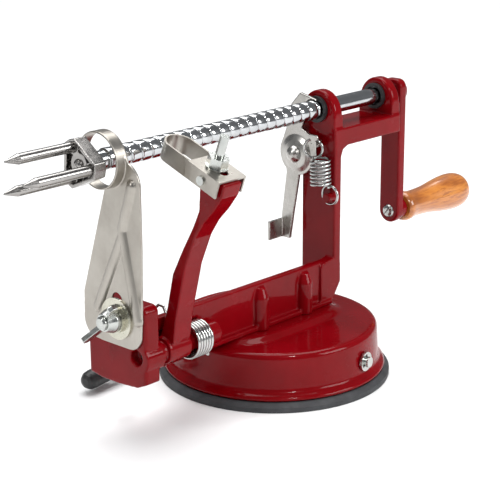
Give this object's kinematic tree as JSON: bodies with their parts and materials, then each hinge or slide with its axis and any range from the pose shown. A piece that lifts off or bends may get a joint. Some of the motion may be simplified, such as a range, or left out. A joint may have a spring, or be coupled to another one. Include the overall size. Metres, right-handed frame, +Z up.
{
  "type": "apple peeler corer",
  "caption": "Hand-cranked fruit peeler, corer and slicer: a threaded screw drives a fork past a peeling arm and a coring ring, on a lever-locked suction base.",
  "frame": {"origin": "on the table, at the centre of the round suction base's underside", "axes": "+X along the feed screw from the fork to the crank, -Y towards the side the peeling arm swings out to, +Z up"},
  "size_m": [0.3073, 0.1127, 0.1379],
  "materials": {
    "red_enamel": "deep gloss",
    "screw_chrome": "mirror",
    "stamped_steel": "satin",
    "zinc_steel": "bright zinc",
    "black_plastic": "matt",
    "grey_rubber": "matt",
    "varnished_wood": "gloss varnish"
  },
  "bodies": {
    "base": {"suction_pad": "grey_rubber", "base_dish": "red_enamel", "main_frame": "red_enamel", "front_bushing": "black_plastic", "rear_bushing": "black_plastic", "base_screws": "zinc_steel", "corer_blade": "stamped_steel", "blade_bolt": "zinc_steel", "blade_washer": "zinc_steel", "pivot_pin": "zinc_steel", "lever_rivet": "zinc_steel", "arm_spring": "zinc_steel", "lever_spring": "zinc_steel", "arm_catch_wire": "zinc_steel"},
    "suction_cam": {"cam_axle": "zinc_steel", "axle_clip": "zinc_steel", "suction_lever": "zinc_steel", "lever_grip": "black_plastic"},
    "plunger": {"pad_plunger": "zinc_steel"},
    "screw_end": {"crank_rivet": "zinc_steel"},
    "screw": {"drive_shaft": "screw_chrome", "fork_plate": "screw_chrome", "fork_tines": "screw_chrome", "fork_rivet": "screw_chrome", "crank_arm": "red_enamel", "handle_screw": "zinc_steel"},
    "handle": {"crank_handle": "varnished_wood"},
    "wing_nut": {"wing_nut": "zinc_steel"},
    "peel_arm": {"peeler_arm": "red_enamel", "peeler_bracket": "stamped_steel", "peeler_rivets": "zinc_steel", "bracket_bolt": "zinc_steel", "bracket_washer": "zinc_steel", "bracket_nut": "zinc_steel"},
    "peel_blade": {"peeler_blade": "stamped_steel"},
    "release": {"release_lever": "stamped_steel"}
  },
  "joints": [
    {"name": "screw_feed", "type": "slide", "parent": "base", "child": "screw_end", "axis": [1, 0, 0], "range_m": [0, 0.108]},
    {"name": "crank_turn", "type": "hinge", "parent": "screw_end", "child": "screw", "pos_m": [0, 0, 0.1242], "axis": [1, 0, 0], "range_deg": [0, 6480]},
    {"name": "handle_spin", "type": "hinge", "parent": "screw", "child": "handle", "pos_m": [0.12, 0, 0.0616], "axis": [1, 0, 0], "continuous": true},
    {"name": "wing_nut_turn", "type": "hinge", "parent": "base", "child": "wing_nut", "pos_m": [-0.11, -0.0042, 0.0545], "axis": [1, 0, 0], "continuous": true},
    {"name": "peel_arm_swing", "type": "hinge", "parent": "base", "child": "peel_arm", "pos_m": [-0.08, -0.0145, 0.0378], "axis": [1, 0, 0], "range_deg": [0, 50], "stiffness_Nm_per_rad": 0.25, "springref_deg": -34.38},
    {"name": "peel_blade_rock", "type": "hinge", "parent": "peel_arm", "child": "peel_blade", "pos_m": [-0.081, -0.04114, 0.11901], "axis": [1, 0, 0], "range_deg": [-4, 4]},
    {"name": "release_tilt", "type": "hinge", "parent": "base", "child": "release", "pos_m": [0.0275, 0.0096, 0.1015], "axis": [1, 0, 0], "range_deg": [-12, 0], "stiffness_Nm_per_rad": 0.2, "springref_deg": 20.05, "deforming": ["lever_spring"]},
    {"name": "suction_lever_turn", "type": "hinge", "parent": "base", "child": "suction_cam", "pos_m": [0, 0, 0.0145], "axis": [-0.1599, 0.9871, 0], "range_deg": [0, 90]},
    {"name": "pad_lift", "type": "slide", "parent": "base", "child": "plunger", "axis": [0, 0, 1], "range_m": [0, 0.0013], "stiffness_N_per_m": 5, "springref_m": 0.022}
  ],
  "couplings": [
    {"joint": "screw_feed", "follows": "crank_turn", "m_per_rad": 0.00095493},
    {"joint": "pad_lift", "follows": "suction_lever_turn", "m_per_rad": 0.00082761}
  ]
}
